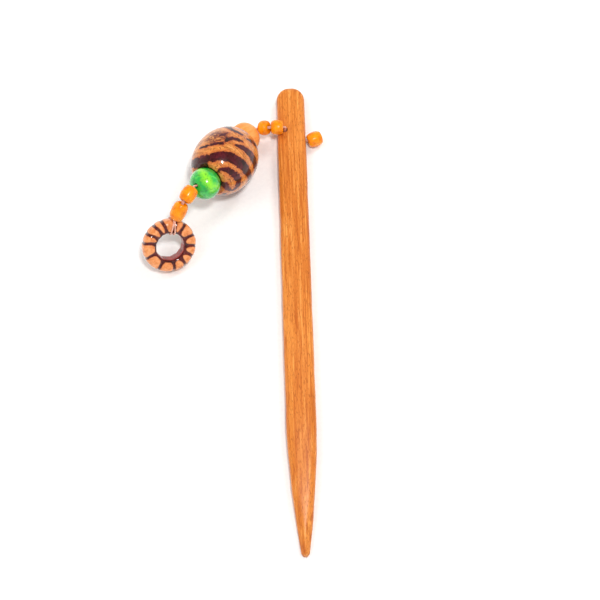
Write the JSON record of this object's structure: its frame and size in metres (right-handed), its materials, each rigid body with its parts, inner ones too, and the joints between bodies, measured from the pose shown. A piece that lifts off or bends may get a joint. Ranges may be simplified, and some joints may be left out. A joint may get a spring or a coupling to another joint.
{
  "type": "decorative hair pin",
  "caption": "Tapered flat wooden hair stick with a dangle of coloured beads and a donut ring on a thread tied through its head.",
  "frame": {"origin": "middle of the stick's length and width, on its flat back", "axes": "+Y along the stick towards its head, +Z out of its front, +X to the right seen from the front"},
  "size_m": [0.0577, 0.153, 0.0216],
  "materials": {
    "wood": "satin varnish over fine lengthwise grain",
    "orange_gloss": "glossy opaque orange",
    "tan_wood": "smooth dull tan-orange wood",
    "striped_lacquer": "clear lacquer over dark brown and tan stripes",
    "green_gloss": "glossy mottled green",
    "carved_wood": "lacquered tan with dark radial lines",
    "thread": "waxed cord, pale pink"
  },
  "bodies": {
    "stick": {"stick": "wood", "stick_thread": "thread", "end_knot": "thread"},
    "stop_bead": {"stop_bead": "orange_gloss"},
    "string_a": {"thread_a": "thread"},
    "near_bead": {"near_bead": "orange_gloss"},
    "string_b": {"thread_b": "thread"},
    "second_bead": {"second_bead": "orange_gloss"},
    "tan_bead": {"tan_bead": "tan_wood"},
    "string_c": {"thread_c": "thread"},
    "patterned_bead": {"patterned_bead": "striped_lacquer"},
    "green_bead": {"green_bead": "green_gloss"},
    "string_d": {"thread_d": "thread"},
    "third_bead": {"third_bead": "orange_gloss"},
    "last_bead": {"last_bead": "orange_gloss"},
    "string_loop": {"thread_loop": "thread"},
    "ring": {"ring": "carved_wood"}
  },
  "joints": [
    {"name": "stop_spin", "type": "hinge", "parent": "stick", "child": "stop_bead", "pos_m": [0.0074, 0.0582, 0.00245], "axis": [0.9471, 0.321, 0], "continuous": true},
    {"name": "dangle_swing", "type": "hinge", "parent": "stick", "child": "string_a", "pos_m": [-0.0023, 0.0605, 0.00715], "axis": [0, 0, 1], "range_deg": [-35, 20]},
    {"name": "near_spin", "type": "hinge", "parent": "string_a", "child": "near_bead", "pos_m": [-0.0018, 0.0605, 0.00715], "axis": [-0.9999, 0.0096, 0.0096], "continuous": true},
    {"name": "dangle_lift", "type": "hinge", "parent": "string_a", "child": "string_b", "pos_m": [-0.00743, 0.06065, 0.00697], "axis": [-0.2554, 0.9668, 0], "range_deg": [0, 30]},
    {"name": "second_spin", "type": "hinge", "parent": "string_b", "child": "second_bead", "pos_m": [-0.007, 0.06055, 0.0072], "axis": [-0.8678, 0.1928, -0.458], "continuous": true},
    {"name": "tan_spin", "type": "hinge", "parent": "string_b", "child": "tan_bead", "pos_m": [-0.01495, 0.05845, 0.00495], "axis": [-0.8302, -0.5535, -0.0668], "continuous": true},
    {"name": "middle_swing", "type": "hinge", "parent": "string_b", "child": "string_c", "pos_m": [-0.01495, 0.05845, 0.00495], "axis": [0, 0, 1], "range_deg": [-15, 15]},
    {"name": "patterned_spin", "type": "hinge", "parent": "string_c", "child": "patterned_bead", "pos_m": [-0.01495, 0.05845, 0.00495], "axis": [-0.4677, -0.7845, 0.4073], "continuous": true},
    {"name": "green_spin", "type": "hinge", "parent": "string_c", "child": "green_bead", "pos_m": [-0.02735, 0.03765, 0.01575], "axis": [-0.5643, -0.4642, 0.6827], "continuous": true},
    {"name": "tail_lift", "type": "hinge", "parent": "string_c", "child": "string_d", "pos_m": [-0.03073, 0.03469, 0.01944], "axis": [-0.8071, 0.5904, 0], "range_deg": [0, 20]},
    {"name": "third_spin", "type": "hinge", "parent": "string_d", "child": "third_bead", "pos_m": [-0.03045, 0.0351, 0.0195], "axis": [-0.5662, -0.816, -0.1166], "continuous": true},
    {"name": "last_spin", "type": "hinge", "parent": "string_d", "child": "last_bead", "pos_m": [-0.03685, 0.02635, 0.0146], "axis": [-0.4659, -0.5979, -0.6523], "continuous": true},
    {"name": "ring_swing", "type": "hinge", "parent": "string_d", "child": "string_loop", "pos_m": [-0.03809, 0.02568, 0.01159], "axis": [-0.9237, -0.0811, 0.3743], "range_deg": [0, 30]},
    {"name": "ring_turn", "type": "hinge", "parent": "string_loop", "child": "ring", "pos_m": [-0.03935, 0.0209, 0.00745], "axis": [0.3298, -0.6655, 0.6695], "continuous": true}
  ]
}
